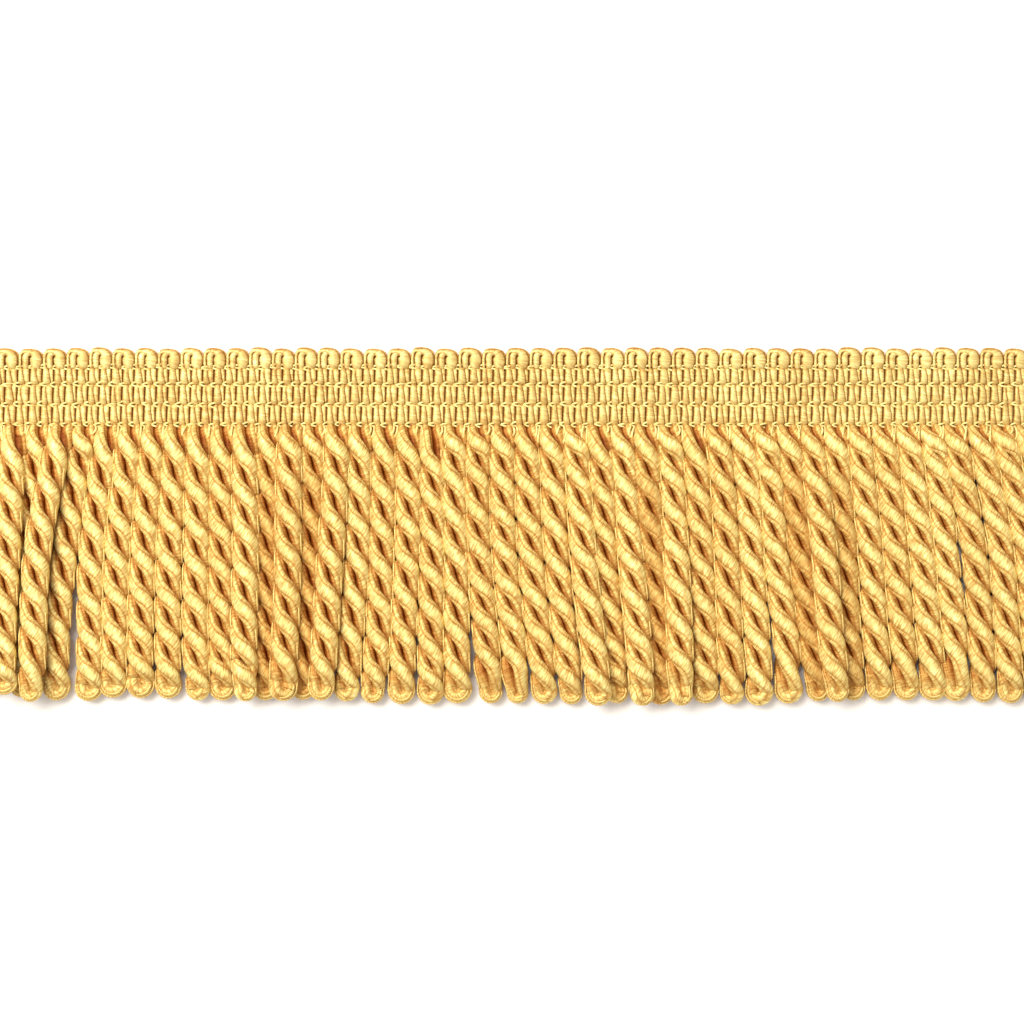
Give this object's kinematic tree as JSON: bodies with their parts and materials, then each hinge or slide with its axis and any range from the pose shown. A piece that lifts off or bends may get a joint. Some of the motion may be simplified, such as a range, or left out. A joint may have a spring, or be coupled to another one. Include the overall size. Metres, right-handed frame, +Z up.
{
  "type": "cord fringe trim",
  "caption": "Length of decorative trim with a scalloped woven heading and a skirt of twisted two-ply cords ending in loops.",
  "frame": {"origin": "centre of the trim's outline, on the surface that it lies on", "axes": "+X along the trim, +Y from the cord ends to the scalloped edge, +Z up out of its face"},
  "size_m": [0.2382, 0.0758, 0.0087],
  "materials": {
    "heading_yarn": "pale gold satin rayon yarn, woven in ribs and locked by fine warp chains",
    "cord_yarn": "gold satin rayon yarn, twisted in two plies, bright on the crowns and brown in the grooves"
  },
  "bodies": {
    "root": {"woven_heading": "heading_yarn", "cord_skirt": "cord_yarn"}
  },
  "joints": []
}
